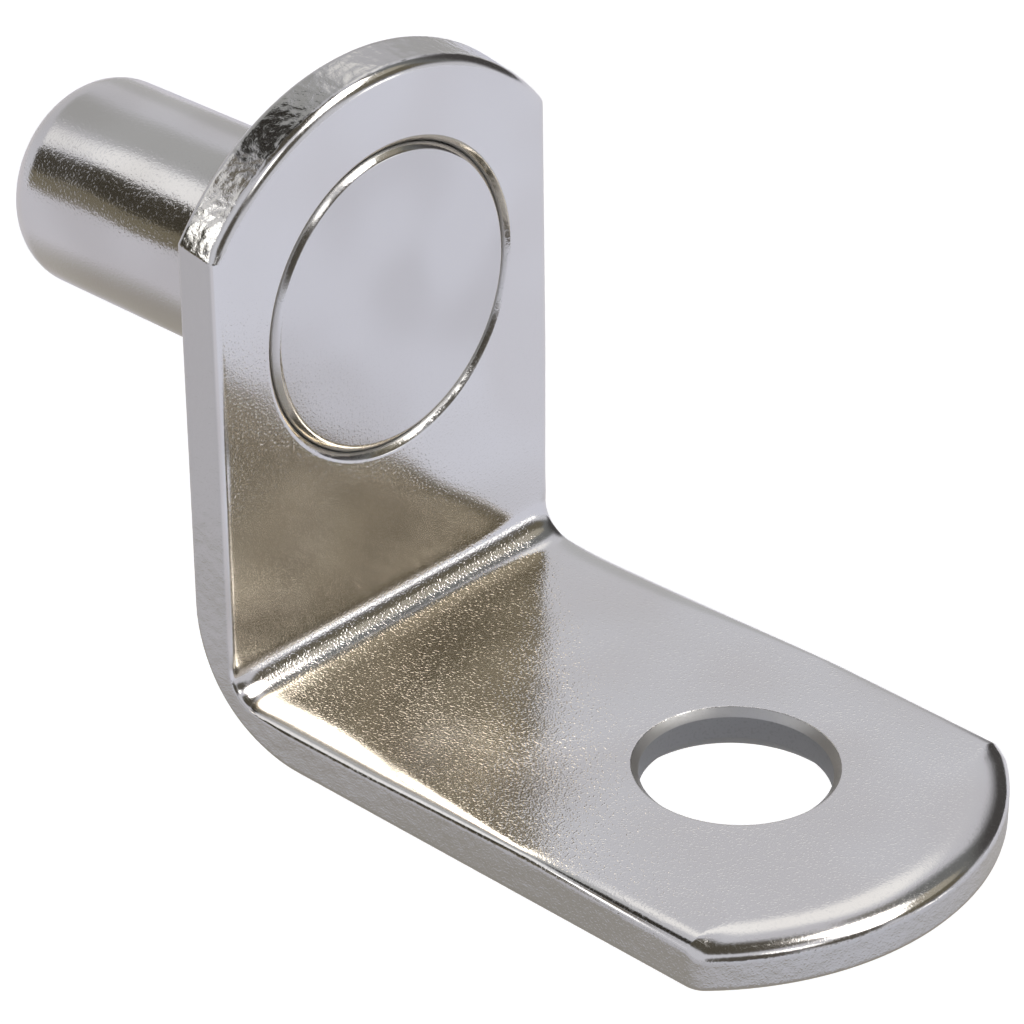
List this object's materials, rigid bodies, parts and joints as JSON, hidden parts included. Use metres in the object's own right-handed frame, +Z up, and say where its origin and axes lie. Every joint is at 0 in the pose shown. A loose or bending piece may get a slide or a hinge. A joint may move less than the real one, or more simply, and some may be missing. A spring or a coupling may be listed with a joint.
{
  "type": "shelf support pin",
  "caption": "L-shaped nickel-plated steel shelf support: a bent strip with arched ends, a screw hole in the leg, and a round pin whose head lies flush in the upright.",
  "frame": {"origin": "on the pin's axis, in the plane of the upright's back, which lies on the cabinet side", "axes": "+X along the leg, into the cabinet; +Y across the strip; +Z up, from the leg towards the shelf; the pin points along -X"},
  "size_m": [0.0253, 0.01, 0.0143],
  "materials": {
    "strip_plating": "satin nickel plate on cold-rolled steel strip, with a fine sparkling grain",
    "pin_plating": "satin nickel plate on cold-headed steel wire"
  },
  "bodies": {
    "root": {"bracket": "strip_plating", "pin": "pin_plating"}
  },
  "joints": []
}
